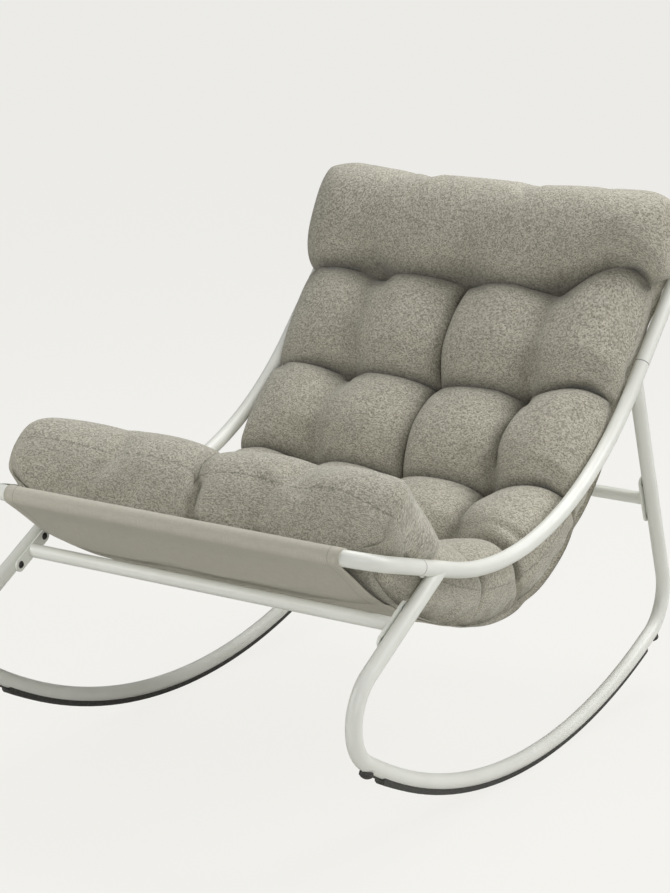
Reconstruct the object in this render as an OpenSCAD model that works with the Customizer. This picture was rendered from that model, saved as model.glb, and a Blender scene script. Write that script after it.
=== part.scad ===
// Garden rocking armchair: two bent-tube side frames on curved rockers, a U-shaped hoop
// plugged into them at the front and at the back, a cloth sling hung between the hoops,
// and one long tufted cushion. Millimetres, +Z up, front towards -Y, the width along X.
// Side view points are [y, z], with y counted from under the centre of the rocker arc.

/* [Frame tube] */
// Outside diameter of the bent frame tube
tube_d = 25; // [23:0.5:28]
// Wall of the frame tube
tube_wall = 1.5; // [1.2:0.1:2]
// Distance between the centre lines of the two side frames
track = 687; // [600:1:760]

/* [Side rail] */
// Place of the rail's lowest point, from under the rocker centre
rail_low_y = -159; // [-170:1:-150]
// Height of the rail's centre line at its lowest point
rail_low_z = 386; // [370:1:400]
// Radius of the long bend in the rail
rail_bend_r = 621; // [600:1:640]
// Rise of the rail's front end, in degrees
rail_front_rise = 18.1; // [17:0.1:19]
// Rise of the rail's back end, in degrees
rail_back_rise = 44.2; // [43:0.1:45]
// Straight tube at the rail's front end
rail_front_straight = 105; // [96:1:112]
// Straight tube at the rail's back end
rail_back_straight = 47; // [44:1:52]

/* [Hoops] */
// From the front joint to the centre of the front hoop's cross tube
front_arm = 147; // [135:1:160]
// From the back joint to the centre of the back hoop's cross tube
back_arm = 271; // [260:1:285]
// Radius of the hoops' two corners
hoop_bend_r = 60; // [50:1:70]
// Length of the reduced end that plugs into the rail
spigot_len = 30; // [24:1:32]
// Wall of the reduced end
spigot_wall = 1.5; // [1.2:0.1:2]
// Clearance all round between the reduced end and the rail's bore
spigot_clearance = 0.15; // [0.1:0.05:0.4]
// Line of light between a hoop's shoulder and the rail's end
joint_gap = 0.4; // [0.2:0.1:0.8]

/* [Rocker loop] */
// Radius of the rocker arc at the tube's centre line
rocker_r = 1103; // [1090:1:1120]
// Radius of the loop's two lower bends
loop_bend_r = 76; // [72:1:80]
// Straight between each lower bend and the rocker arc
bend_straight = 4; // [4:0.5:5]
// Slope of the front leg below the horizontal, in degrees
front_leg_slope = 26.5; // [25:0.1:28]
// Slope of the rear leg below the horizontal, in degrees
rear_leg_slope = 69.1; // [68:0.1:70]
// From the front joint back to the front leg's weld
front_weld_setback = 63; // [60:1:67]
// From the back joint down to the rear leg's weld
rear_weld_setback = 35; // [33:1:38]
// Clearance of the notched leg end from the rail
weld_gap = 0.2; // [0.1:0.1:0.5]

/* [Cross bars] */
// Outside diameter of the cross bars
bar_d = 22; // [18:0.5:24]
// Wall of the cross bars
bar_wall = 1.2; // [1:0.1:2]
// From the front leg's weld to the front bar, along the leg
front_bar_along = 124; // [115:1:132]
// From the rear leg's weld to the rear bar, along the leg
rear_bar_along = 249; // [235:1:262]
// Length of the end plates
plate_len = 92; // [86:1:98]
// Width of the end plates
plate_w = 22; // [20:1:26]
// Thickness of the end plates
plate_t = 3; // [2:0.5:4]
// Distance between the two bolts of a plate
bolt_spacing = 68; // [60:1:70]

/* [Fasteners] */
// Shank of the cross bar bolts
bolt_d = 6; // [5:0.5:6]
// Head of the cross bar bolts
bolt_head_d = 12; // [11:0.5:13]
// Height of the domed bolt head
bolt_head_h = 3.6; // [3:0.1:4]
// Shank length of the cross bar bolts
bolt_len = 15; // [13:1:16]
// Outside diameter of the threaded inserts in the legs
insert_d = 9; // [8.5:0.1:9.5]
// Flange of the threaded inserts
insert_flange_d = 13; // [12:0.5:14]
// Thickness of the inserts' flange
insert_flange_t = 1; // [0.6:0.1:1.5]
// Length of the inserts behind their flange
insert_len = 11; // [9:0.5:12]
// Shank of the hoop screws
screw_d = 5; // [4:0.5:5]
// Head of the hoop screws
screw_head_d = 8.5; // [8:0.5:10]
// Height of the hoop screw heads
screw_head_h = 2.6; // [2:0.1:3.5]
// Shank length of the hoop screws
screw_len = 7; // [5:0.5:8]
// From a joint to its screw, along the rail
screw_setback = 12; // [10:1:16]

/* [Glide strips] */
// Depth of the strip under the tube
strip_t = 7; // [6:0.5:8]
// Width of the strip
strip_w = 16; // [14:0.5:18]
// From the front bend back to the strip's front end
strip_front_setback = 49; // [49:1:54]
// From the rear bend forward to the strip's rear end
strip_rear_setback = 26; // [20:1:26]
// Length of the slanted cut at the strip's ends
strip_taper = 4; // [2:1:8]
// Thickness of the narrow tongue at the strip's front
tongue_t = 2; // [1.5:0.1:2.5]
// Width of the tongue
tongue_w = 7; // [6:0.5:9]

/* [Stop buttons] */
// Diameter of the stop buttons
button_d = 21; // [18:0.5:22]
// Height of the stop buttons over the tube
button_h = 9; // [8:0.5:10]
// Stem of the stop buttons
button_stem_d = 5; // [4:0.5:6]
// Length of the stem inside the tube
button_stem_len = 8; // [6:1:9]
// From the strip's front end to the front button
front_button_gap = 44; // [38:1:44]
// From the strip's rear end to the rear button
rear_button_gap = 36; // [36:1:40]

/* [Sling] */
// Thickness of the sling cloth
cloth_t = 1.5; // [1.2:0.1:1.8]
// From the side frame's centre line in to the sling's edge
sling_side_setback = 45; // [40:1:52]
// Clearance of the sleeves round the hoops
sleeve_clearance = 0.3; // [0.2:0.1:0.6]
// Slope of the sling below the front hoop, in degrees
sling_front_slope = 38; // [36:0.5:40]
// Slope of the sling below the back hoop, in degrees
sling_back_slope = 47; // [45:0.5:49]
// How far the sling keeps its front slope, as a curve handle
sling_front_pull = 840; // [820:5:860]
// How far the sling keeps its back slope, as a curve handle
sling_back_pull = 510; // [495:5:530]
// Depth of the soft fold across the front of the sling
fold_depth = 5; // [2:0.5:8]
// How far the sling's side edges draw in between the hoops
sling_draw_in = 6; // [0:1:12]

/* [Cushion] */
// From the frame tube in to the cushion's side
cushion_side_clearance = 9; // [7:1:14]
// Height of the side border
border_h = 70; // [64:1:76]
// Height of the pillows over the cushion's underside
pillow_h = 124; // [116:1:130]
// Height of the front roll's crown over the sling, which has no tufts across it
front_roll_h = 162; // [154:1:170]
// Height along the sunk lines between the tufts
crease_h = 80; // [76:1:86]
// Height at the sewn tufts
tuft_h = 52; // [48:1:58]
// Rise of the cushion's front end where it lies on the front hoop
front_lift = 34; // [32:1:38]
// Overhang of the cushion's head end past the back hoop
head_overhang = 20; // [14:1:24]
// Lean of the head end over the back hoop
head_lean = 50; // [48:1:56]
// How much higher the head roll's outer edge stands than the rest of the border
head_rise = 24; // [16:1:30]
// How much higher the tufts under the head roll stand than the others
head_tuft_rise = 18; // [10:1:24]
// How far the rolls at both ends spread over the side tubes, and how far corners are rounded
side_spread = 24; // [16:1:26]
corner_cut = 26; // [20:1:32]
// Clearance between cushion and sling
cushion_gap = 0.3; // [0.3:0.1:0.8]
// Distance between the tufts across the width
tuft_pitch = 172; // [160:1:180]

/* [Rest] */
// Tilt at which the empty chair comes to rest, in degrees
rest_tilt = 1.8; // [-3:0.1:3]

/* [Hidden] */

// Facets of round tubes, and of small round parts
TUBE_FN = 48;
SMALL_FN = 32;
tube_r = tube_d / 2;
bore_r = tube_r - tube_wall;
half_track = track / 2;
// Running clearances of bolts and stems in their holes
hole_slack = 0.2;
thread_slack = 0.05;
// Overshoot of a cutting shape past the face that it cuts
cut = 1;
// Thinning of the tube's wall in a bend, from inside and outside, and the bend's overlap
bend_thinning = 0.02;
bend_lap = 0.5;

// Unit vector in the side view, and the angle of a vector there
function unit(a) = [cos(a), sin(a)];
function angle_of(v) = atan2(v[1], v[0]);

// Side view of the rail, from the front joint through the long bend to the back joint
front_heading = 180 - rail_front_rise;
back_heading = rail_back_rise;
rail_c = [rail_low_y, rail_low_z + rail_bend_r];
rail_bend_front = rail_c + rail_bend_r * unit(270 - rail_front_rise);
rail_bend_back = rail_c + rail_bend_r * unit(270 + rail_back_rise);
front_joint = rail_bend_front + rail_front_straight * unit(front_heading);
back_joint = rail_bend_back + rail_back_straight * unit(back_heading);
front_tube = front_joint + front_arm * unit(front_heading);
back_tube = back_joint + back_arm * unit(back_heading);

// Side view of the rocker loop: its bends touch a leg and, from inside, the rocker arc
rocker_c = [0, rocker_r + tube_r + strip_t];
front_weld = front_joint - front_weld_setback * unit(front_heading);
rear_weld = back_joint - rear_weld_setback * unit(back_heading);
front_leg_heading = 180 + front_leg_slope;
rear_leg_heading = -rear_leg_slope;
// The inward normal of a leg points into the loop
front_leg_in = unit(front_leg_heading + 90);
rear_leg_in = unit(rear_leg_heading - 90);
function leg_length(weld, heading, inward) =
  let (q = weld + loop_bend_r * inward - rocker_c)
  let (along = q * unit(heading))
  -along + sqrt(along * along - q * q + pow(rocker_r - loop_bend_r, 2) + pow(bend_straight, 2));
front_leg_len = leg_length(front_weld, front_leg_heading, front_leg_in);
rear_leg_len = leg_length(rear_weld, rear_leg_heading, rear_leg_in);
front_bend_c = front_weld + front_leg_len * unit(front_leg_heading) + loop_bend_r * front_leg_in;
rear_bend_c = rear_weld + rear_leg_len * unit(rear_leg_heading) + loop_bend_r * rear_leg_in;
// Where the rocker arc begins and ends, as angles about its centre
bend_straight_turn = atan(bend_straight / (rocker_r - loop_bend_r));
rocker_from = angle_of(front_bend_c - rocker_c) + 360 + bend_straight_turn;
rocker_to = angle_of(rear_bend_c - rocker_c) + 360 - bend_straight_turn;

// Cross bars lie on the legs' centre lines
front_bar = front_weld + front_bar_along * unit(front_leg_heading);
rear_bar = rear_weld + rear_bar_along * unit(rear_leg_heading);
leg_face_x = half_track - tube_r;
plate_x = leg_face_x - insert_flange_t - plate_t;

// Glide strip and buttons, as angles about the rocker centre
function arc_deg(length, radius) = length / radius * 180 / PI;
strip_from = rocker_from + arc_deg(strip_front_setback, rocker_r);
strip_to = rocker_to - arc_deg(strip_rear_setback, rocker_r);
front_button_at = strip_from - arc_deg(front_button_gap, rocker_r);
rear_button_at = rocker_to
  + arc_deg(rear_button_gap - strip_rear_setback - bend_straight, loop_bend_r);

// The whole chair turns about the rocker centre to its rest
module at_rest() {
  translate([0, rocker_c[0], rocker_c[1]])
    rotate([rest_tilt, 0, 0])
      translate([0, -rocker_c[0], -rocker_c[1]])
        children();
}

// Turns a drawing in the plane of the side view to stand at x
module side_view(x) {
  translate([x, 0, 0])
    rotate([90, 0, 90])
      children();
}

// Section of a tube, or of a solid rod where the bore is zero
module tube_section(r, bore) {
  difference() {
    circle(r = r, $fn = TUBE_FN);
    if (bore > 0) circle(r = bore, $fn = TUBE_FN);
  }
}

// Straight run from p along a heading, with the inside of the next bend on its left
module straight_run(p, heading, length, r, bore) {
  translate([p[0], p[1], 0])
    rotate([0, 0, heading])
      rotate([-90, 0, -90])
        linear_extrude(length)
          tube_section(r, bore);
}

// Arc about c between two angles
module arc_run(c, bend_r, from, to, r, bore) {
  translate([c[0], c[1], 0])
    rotate([0, 0, from])
      rotate_extrude(angle = to - from, $fn = bend_r > 300 ? 240 : 72)
        translate([bend_r, 0])
          tube_section(r, bore);
}

// Bend between two other runs: its wall thins a little, and its ends reach into theirs
module bend_run(c, bend_r, from, to, r, bore) {
  lap = arc_deg(bend_lap, bend_r);
  arc_run(c, bend_r, from - lap, to + lap, r - bend_thinning,
          bore > 0 ? bore + bend_thinning : 0);
}

// Round pin or hole across the side view plane, from one x to another
module cross_pin(p, x_from, x_to, r) {
  translate([x_from, p[0], p[1]])
    rotate([0, 90, 0])
      cylinder(h = x_to - x_from, r = r, $fn = SMALL_FN);
}

// Pin or hole in the side view plane, from p along a heading
module radial_pin(p, heading, length, r) {
  translate([p[0], p[1], 0])
    rotate([0, 0, heading])
      rotate([0, 90, 0])
        cylinder(h = length, r = r, $fn = SMALL_FN);
}

// The rail's run of tube, from its front joint to its back joint
module rail_run(r, bore) {
  straight_run(front_joint, front_heading + 180, rail_front_straight, r, bore);
  bend_run(rail_c, rail_bend_r, 270 - rail_front_rise, 270 + rail_back_rise, r, bore);
  straight_run(rail_bend_back, back_heading, rail_back_straight, r, bore);
}

// Where a hoop screw goes in, on the underside of the rail
front_screw_at = front_joint - screw_setback * unit(front_heading);
back_screw_at = back_joint - screw_setback * unit(back_heading);
front_screw_heading = front_heading + 90;
back_screw_heading = back_heading - 90;

module side_rail(side) {
  color("whitesmoke")
    at_rest()
      side_view(side * half_track)
        difference() {
          rail_run(tube_r, bore_r);
          radial_pin(front_screw_at, front_screw_heading, tube_d, screw_d / 2 + hole_slack);
          radial_pin(back_screw_at, back_screw_heading, tube_d, screw_d / 2 + hole_slack);
        }
}

module left_side_rail() side_rail(-1);
module right_side_rail() side_rail(1);

// Both bolt places of a cross bar
function bolt_places(bar, heading) =
  [for (k = [-1, 1]) bar + k * bolt_spacing / 2 * unit(heading)];
front_bolts_at = bolt_places(front_bar, front_leg_heading);
rear_bolts_at = bolt_places(rear_bar, rear_leg_heading);

// The loop's run of tube, down the front leg, back along the rocker and up the rear leg
module loop_run(r, bore) {
  straight_run(front_weld, front_leg_heading, front_leg_len, r, bore);
  bend_run(front_bend_c, loop_bend_r, 90 + front_leg_slope, rocker_from, r, bore);
  straight_run(front_bend_c + loop_bend_r * unit(rocker_from), rocker_from + 90,
               bend_straight, r, bore);
  bend_run(rocker_c, rocker_r, rocker_from, rocker_to, r, bore);
  straight_run(rocker_c + rocker_r * unit(rocker_to), rocker_to + 90, bend_straight, r, bore);
  bend_run(rear_bend_c, loop_bend_r, rocker_to, 450 - rear_leg_slope, r, bore);
  straight_run(rear_weld + rear_leg_len * unit(rear_leg_heading), rear_leg_heading + 180,
               rear_leg_len, r, bore);
}

// Point of the rocker, and of the rear bend, under which a stop button sits
front_button_c = rocker_c + rocker_r * unit(front_button_at);
rear_button_c = rear_bend_c + loop_bend_r * unit(rear_button_at);

// Legs, bends and rocker are one bent tube, notched at both ends to fit the rail
module rocker_loop(side) {
  color("whitesmoke")
    at_rest()
      difference() {
        side_view(side * half_track)
          difference() {
            loop_run(tube_r, bore_r);
            rail_run(tube_r + weld_gap, 0);
            radial_pin(front_button_c, front_button_at, tube_d, button_stem_d / 2 + hole_slack);
            radial_pin(rear_button_c, rear_button_at, tube_d, button_stem_d / 2 + hole_slack);
          }
        for (p = concat(front_bolts_at, rear_bolts_at)) {
          inner = side * (half_track - tube_r - cut);
          middle = side * half_track;
          cross_pin(p, min(inner, middle), max(inner, middle), insert_d / 2 + hole_slack);
        }
      }
}

module left_rocker_loop() rocker_loop(-1);
module right_rocker_loop() rocker_loop(1);

// Reduced end of a hoop: a shoulder against the rail, then the spigot inside it
spigot_r = bore_r - spigot_clearance;
shoulder_len = 6;
module spigot() {
  tip = 1;
  rotate([90, 0, 0])
    rotate_extrude($fn = TUBE_FN)
      polygon([
        [bore_r, -shoulder_len],
        [tube_r, -shoulder_len],
        [tube_r, 0],
        [spigot_r, 0],
        [spigot_r, spigot_len - tip],
        [spigot_r - tip / 2, spigot_len],
        [spigot_r - spigot_wall, spigot_len],
        [spigot_r - spigot_wall, 0],
        [bore_r, -shoulder_len]
      ]);
}

// A U of tube in its own plane: arms along +Y from y = 0, cross tube at y = arm
module hoop_run(arm) {
  corner_x = half_track - hoop_bend_r;
  corner_y = arm - hoop_bend_r;
  for (side = [-1, 1]) {
    translate([side * half_track, shoulder_len, 0])
      rotate([-90, 0, 0])
        linear_extrude(corner_y - shoulder_len)
          tube_section(tube_r, bore_r);
    translate([side * corner_x, corner_y, 0])
      rotate([0, 0, side > 0 ? 0 : 90])
        rotate_extrude(angle = 90, $fn = 180)
          translate([hoop_bend_r, 0])
            tube_section(tube_r, bore_r);
    translate([side * half_track, 0, 0])
      spigot();
  }
  translate([-corner_x, arm, 0])
    rotate([0, 90, 0])
      linear_extrude(2 * corner_x)
        tube_section(tube_r, bore_r);
}

// Hoop standing on its joint, with tapped holes in the spigots on the underside
module hoop(joint, heading, arm, screw_side) {
  color("whitesmoke")
    at_rest()
      translate([0, joint[0], joint[1]])
        rotate([heading, 0, 0])
          difference() {
            translate([0, joint_gap, 0])
              hoop_run(arm - joint_gap);
            for (side = [-1, 1])
              translate([side * half_track, -screw_setback, 0])
                rotate([screw_side > 0 ? 0 : 180, 0, 0])
                  cylinder(h = tube_d, r = screw_d / 2 + thread_slack, $fn = SMALL_FN);
          }
}

module front_hoop() hoop(front_joint, front_heading, front_arm, 1);
module back_hoop() hoop(back_joint, back_heading, back_arm, -1);

// Domed head over a plane, its apex towards +Z
module domed_head(d, h) {
  dome_r = (d * d / 4 + h * h) / (2 * h);
  intersection() {
    translate([0, 0, h - dome_r])
      sphere(r = dome_r, $fn = 2 * SMALL_FN);
    cylinder(h = h + cut, d = d, $fn = SMALL_FN);
  }
}

// Screw with a low domed head, its shank towards -Z, its seat at z = 0
module socket_screw(shank_d, shank_len, head_d, head_h, key) {
  difference() {
    union() {
      domed_head(head_d, head_h);
      translate([0, 0, -shank_len])
        cylinder(h = shank_len, d = shank_d, $fn = SMALL_FN);
    }
    translate([0, 0, head_h * 0.4])
      cylinder(h = head_h, d = key, $fn = 6);
  }
}

// The seat of a hoop screw is a hair off the rail's round underside
module hoop_screws(at, heading) {
  seat_gap = 0.1;
  color("whitesmoke")
    at_rest()
      for (side = [-1, 1])
        side_view(side * half_track)
          translate([at[0], at[1], 0])
            rotate([0, 0, heading])
              translate([tube_r + seat_gap, 0, 0])
                rotate([0, 90, 0])
                  socket_screw(screw_d, screw_len, screw_head_d, screw_head_h, screw_d * 0.6);
}

module front_hoop_screws() hoop_screws(front_screw_at, front_screw_heading);
module back_hoop_screws() hoop_screws(back_screw_at, back_screw_heading);

// Cross bar: a straight tube that butts against its two end plates
module crossbar(at) {
  color("whitesmoke")
    at_rest()
      translate([-plate_x, at[0], at[1]])
        rotate([0, 90, 0])
          linear_extrude(2 * plate_x)
            tube_section(bar_d / 2, bar_d / 2 - bar_wall);
}

module front_crossbar() crossbar(front_bar);
module rear_crossbar() crossbar(rear_bar);

// Flat plate with round ends and two bolt holes, lying along the leg
module end_plate(at, heading) {
  straight = plate_len - plate_w;
  translate([at[0], at[1], 0])
    rotate([0, 0, heading])
      linear_extrude(plate_t)
        difference() {
          union() {
            square([straight, plate_w], center = true);
            for (k = [-1, 1])
              translate([k * straight / 2, 0])
                circle(d = plate_w, $fn = TUBE_FN);
          }
          for (k = [-1, 1])
            translate([k * bolt_spacing / 2, 0])
              circle(r = bolt_d / 2 + hole_slack, $fn = SMALL_FN);
        }
}

module end_plates(at, heading) {
  color("whitesmoke")
    at_rest()
      for (x = [plate_x, -plate_x - plate_t])
        side_view(x)
          end_plate(at, heading);
}

module front_crossbar_plates() end_plates(front_bar, front_leg_heading);
module rear_crossbar_plates() end_plates(rear_bar, rear_leg_heading);

// Runs its child, drawn along +Z from the leg's face, at each bolt place and on both sides
module at_bolts(places, x) {
  at_rest()
    for (p = places)
      for (side = [-1, 1])
        translate([side * x, p[0], p[1]])
          rotate([0, -side * 90, 0])
            children();
}

module crossbar_bolts(places) {
  color("dimgray")
    at_bolts(places, plate_x)
      socket_screw(bolt_d, bolt_len, bolt_head_d, bolt_head_h, bolt_d * 0.66);
}

module front_crossbar_bolts() crossbar_bolts(front_bolts_at);
module rear_crossbar_bolts() crossbar_bolts(rear_bolts_at);

// Blind-side threaded insert: flange on the leg's face, sleeve through its wall
module leg_inserts(places) {
  color("silver")
    at_bolts(places, leg_face_x)
      difference() {
        union() {
          cylinder(h = insert_flange_t, d = insert_flange_d, $fn = SMALL_FN);
          translate([0, 0, -insert_len])
            cylinder(h = insert_len + insert_flange_t, d = insert_d, $fn = SMALL_FN);
        }
        translate([0, 0, -insert_len - cut])
          cylinder(h = insert_len + insert_flange_t + 2 * cut, r = bolt_d / 2 + thread_slack,
                   $fn = SMALL_FN);
      }
}

module front_leg_inserts() leg_inserts(front_bolts_at);
module rear_leg_inserts() leg_inserts(rear_bolts_at);

// Section of a strip that hugs the underside of the tube, its tread's corners bevelled
module strip_section(depth, width) {
  fit = 0.1;
  half_w = width / 2;
  bevel = depth * 0.35;
  top = tube_r * cos(asin(half_w / tube_r));
  tread = tube_r + depth;
  difference() {
    polygon([
      [top, -half_w],
      [tread - bevel, -half_w],
      [tread, bevel - half_w],
      [tread, half_w - bevel],
      [tread - bevel, half_w],
      [top, half_w]
    ]);
    circle(r = tube_r + fit, $fn = TUBE_FN);
  }
}

// Curved strip under the rocker between two angles
module strip_run(from, to, depth, width) {
  translate([rocker_c[0], rocker_c[1], 0])
    rotate([0, 0, from])
      rotate_extrude(angle = to - from, $fn = 360)
        translate([rocker_r, 0])
          strip_section(depth, width);
}

// Wedge that slants a strip's end from just over its tongue to its tread
module end_cut(at, way) {
  start = tube_r + tongue_t + 0.5;
  slant = strip_taper / (tube_r + strip_t - start);
  far = 2 * tube_d;
  translate([rocker_c[0], rocker_c[1], 0])
    rotate([0, 0, at])
      linear_extrude(2 * tube_d, center = true)
        polygon([
          [rocker_r + start - cut / slant, -way * cut],
          [rocker_r + far, -way * cut],
          [rocker_r + far, way * slant * (far - start)]
        ]);
}

module glide_strip(side) {
  tongue_reach = arc_deg(front_button_gap + button_stem_d, rocker_r);
  color("dimgray")
    at_rest()
      side_view(side * half_track)
        difference() {
          union() {
            difference() {
              strip_run(strip_from, strip_to, strip_t, strip_w);
              end_cut(strip_from, 1);
              end_cut(strip_to, -1);
            }
            strip_run(strip_from - tongue_reach, strip_from + 1, tongue_t, tongue_w);
          }
          radial_pin(front_button_c, front_button_at, tube_d, button_stem_d / 2 + hole_slack);
        }
}

module left_glide_strip() glide_strip(-1);
module right_glide_strip() glide_strip(1);

// Depth of the hollow that seats a button on the round tube, and its fit there
button_seat = 5;
button_fit = 0.1;
button_dome = 5;

// Domed button hollowed to sit on a tube, with a stem through the tube's wall
module stop_button(at, heading, lift) {
  rim_h = button_h - button_dome;
  translate([at[0], at[1], 0])
    rotate([0, 0, heading])
      rotate([0, 90, 0])
        union() {
          difference() {
            translate([0, 0, tube_r - button_seat])
              union() {
                cylinder(h = rim_h + button_seat, d = button_d, $fn = TUBE_FN);
                translate([0, 0, rim_h + button_seat])
                  domed_head(button_d, button_dome);
              }
            rotate([90, 0, 0])
              cylinder(h = 2 * button_d, r = tube_r + lift + button_fit, center = true,
                       $fn = TUBE_FN);
          }
          translate([0, 0, tube_r - button_stem_len])
            cylinder(h = button_stem_len + rim_h, d = button_stem_d, $fn = SMALL_FN);
        }
}

module stop_buttons(at, heading, lift) {
  color("dimgray")
    at_rest()
      for (side = [-1, 1])
        side_view(side * half_track)
          stop_button(at, heading, lift);
}

module front_stop_buttons() stop_buttons(front_button_c, front_button_at, tongue_t);
module rear_stop_buttons() stop_buttons(rear_button_c, rear_button_at, 0);

// The sling hangs in a hammock curve between the undersides of the two hoops
sleeve_steps = 16;
sleeve_open = 34;
sleeve_in_r = (tube_r + sleeve_clearance) / cos((360 - sleeve_open) / sleeve_steps / 2);
sleeve_out_r = sleeve_in_r + cloth_t;
sheet_r = (sleeve_in_r + sleeve_out_r) / 2;
sling_half_w = half_track - sling_side_setback;

// Four handles of the curve: it leaves each hoop along the sling's slope there
sling_a = front_tube + sheet_r * unit(270 - sling_front_slope);
sling_d = back_tube + sheet_r * unit(270 + sling_back_slope);
sling_b = sling_a + sling_front_pull * unit(-sling_front_slope);
sling_c = sling_d - sling_back_pull * unit(sling_back_slope);
function hammock(t) =
  pow(1 - t, 3) * sling_a + 3 * pow(1 - t, 2) * t * sling_b
  + 3 * (1 - t) * t * t * sling_c + pow(t, 3) * sling_d;
function hammock_slope(t) = angle_of(
  pow(1 - t, 2) * (sling_b - sling_a) + 2 * (1 - t) * t * (sling_c - sling_b)
  + t * t * (sling_d - sling_c));

// Length along the curve against its parameter, and the sling's full length
CURVE_STEPS = 120;
length_table = [
  for (i = 0, s = 0; i <= CURVE_STEPS;
       s = s + norm(hammock((i + 1) / CURVE_STEPS) - hammock(i / CURVE_STEPS)), i = i + 1)
    [s, i / CURVE_STEPS]
];
sling_len = length_table[CURVE_STEPS][0];
function at_length(s) = lookup(s, length_table);
// Point at a length along the sling and a height over it, with heights square to the curve
function over_sling(s, height) = let (t = at_length(s))
  hammock(t) + height * unit(hammock_slope(t) + 90);

// Seven rows of pillows from the front roll to the head roll
ROWS = 7;
COLUMNS = 4;
// Steps across a pillow, along and across the cushion
ROW_STEPS = 4;
COLUMN_STEPS = 4;
cushion_start = 14;
// Place of a pillow's section between two folds: it crowds to the folds, where it is upright
function pillow_place(u, last) =
  u < 0.5 ? (1 - cos(180 * u)) / 2
  : u > last - 0.5 ? last - (1 - cos(180 * (last - u))) / 2
  : let (cell = floor(u), t = u - cell) cell + 0.3 * t + 0.35 * (1 - cos(180 * t));
function row_length(r) =
  cushion_start + (sling_len + head_overhang - cushion_start) * pillow_place(r, ROWS) / ROWS;
row_stops = [for (i = [0 : ROWS * ROW_STEPS]) i / ROW_STEPS];
// 0 up to the head roll, and 1 at its outer end
function head(r) = pow(max(0, r - ROWS + 1), 2);
// The head roll leans out over the hoop, so that its underside ends sooner than its top
function under_length(r) = row_length(r) - head_lean * head(r);

// How far the hoop's corner has turned at x, and how far its tube has moved towards the joint
function corner_turn(x) =
  asin(max(0, min(1, (abs(x) - half_track + hoop_bend_r) / hoop_bend_r)));
function corner_sag(x) = hoop_bend_r * (1 - cos(corner_turn(x)));
corner_x = half_track - hoop_bend_r;
sling_stations = [
  -sling_half_w, -(sling_half_w + corner_x) / 2, -corner_x, -corner_x / 2,
  0, corner_x / 2, corner_x, (sling_half_w + corner_x) / 2, sling_half_w
];

// Section of a sleeve at x: it follows the tube round the hoop's corner
function sleeve_point(tube, heading, x, a, r) =
  let (along = unit(heading), across = unit(heading + 90))
  tube - corner_sag(x) * along
  + r * (cos(a - heading) / cos(corner_turn(x)) * along + sin(a - heading) * across);

// Along the sling: front sleeve, hammock between the sleeves, back sleeve
front_sleeve_to = 270 - sling_front_slope;
back_sleeve_from = 270 + sling_back_slope;
sleeve_sweep = 360 - sleeve_open;
front_sleeve_angles = [for (i = [0 : sleeve_steps - 1])
  front_sleeve_to - sleeve_sweep * (1 - i / sleeve_steps)];
back_sleeve_angles = [for (i = [1 : sleeve_steps])
  back_sleeve_from + sleeve_sweep * i / sleeve_steps];
// The sheet bends at the cushion's own stations, so that the two lie on each other
sheet_lengths = concat([0], [for (r = row_stops) under_length(r)], [sling_len]);

// A soft fold runs across the front of the sling, deepest in the middle
fold_at = 100;
fold_width = 42;
function fold(s, x) = -fold_depth * exp(-pow((s - fold_at - x / 12) / fold_width, 2))
  * (1 - pow(x / sling_half_w, 2) * 0.5);
// Near a hoop the sheet's sides follow its corners, and this much further in they don't
corner_reach = 160;
function sheet_point(s, x, height) =
  let (near_front = pow(max(0, 1 - s / corner_reach), 2))
  let (near_back = pow(max(0, 1 - (sling_len - s) / corner_reach), 2))
  over_sling(s, height + fold(s, x))
  - corner_sag(x) * (near_front * unit(front_heading) + near_back * unit(back_heading));
function drawn_in(s) = 1 - sling_draw_in / sling_half_w * pow(sin(180 * s / sling_len), 2);

// One face of the sling, as rows of points: 1 is its upper, inner face, -1 its lower face
function sling_row(x, face) = concat(
  [for (a = front_sleeve_angles)
    let (p = sleeve_point(front_tube, front_heading, x, a, sheet_r - face * cloth_t / 2)) [x, p[0], p[1]]],
  [for (s = sheet_lengths)
    let (p = sheet_point(s, x, face * cloth_t / 2)) [x * drawn_in(s), p[0], p[1]]],
  [for (a = back_sleeve_angles)
    let (p = sleeve_point(back_tube, back_heading, x, a, sheet_r - face * cloth_t / 2)) [x, p[0], p[1]]]
);

// Closes two grids of the same size, given as rows of points, into one solid
module grid_solid(upper, lower) {
  rows = len(upper);
  cols = len(upper[0]);
  count = rows * cols;
  points = concat([for (row = upper) for (p = row) p], [for (row = lower) for (p = row) p]);
  function at(i, j) = i * cols + j;
  edge = concat(
    [for (j = [0 : cols - 2]) at(0, j)],
    [for (i = [0 : rows - 2]) at(i, cols - 1)],
    [for (j = [cols - 1 : -1 : 1]) at(rows - 1, j)],
    [for (i = [rows - 1 : -1 : 1]) at(i, 0)]
  );
  faces = concat(
    [for (i = [0 : rows - 2]) for (j = [0 : cols - 2]) each [
      [at(i, j), at(i, j + 1), at(i + 1, j + 1)], [at(i, j), at(i + 1, j + 1), at(i + 1, j)],
      [count + at(i, j), count + at(i + 1, j + 1), count + at(i, j + 1)],
      [count + at(i, j), count + at(i + 1, j), count + at(i + 1, j + 1)]
    ]],
    [for (k = [0 : len(edge) - 1]) let (a = edge[k], b = edge[(k + 1) % len(edge)]) each [
      [a, count + a, b], [b, count + a, count + b]
    ]]
  );
  polyhedron(points = points, faces = faces);
}

module sling() {
  color("tan")
    at_rest()
      grid_solid(
        [for (x = sling_stations) sling_row(x, 1)],
        [for (x = sling_stations) sling_row(x, -1)]
      );
}

// Cushion: pillows between sewn tufts, over a border whose seam runs round the top edge
cushion_half_w = half_track - tube_r - cushion_side_clearance;
column_stops = [for (j = [0 : COLUMNS * COLUMN_STEPS]) j / COLUMN_STEPS];
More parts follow.
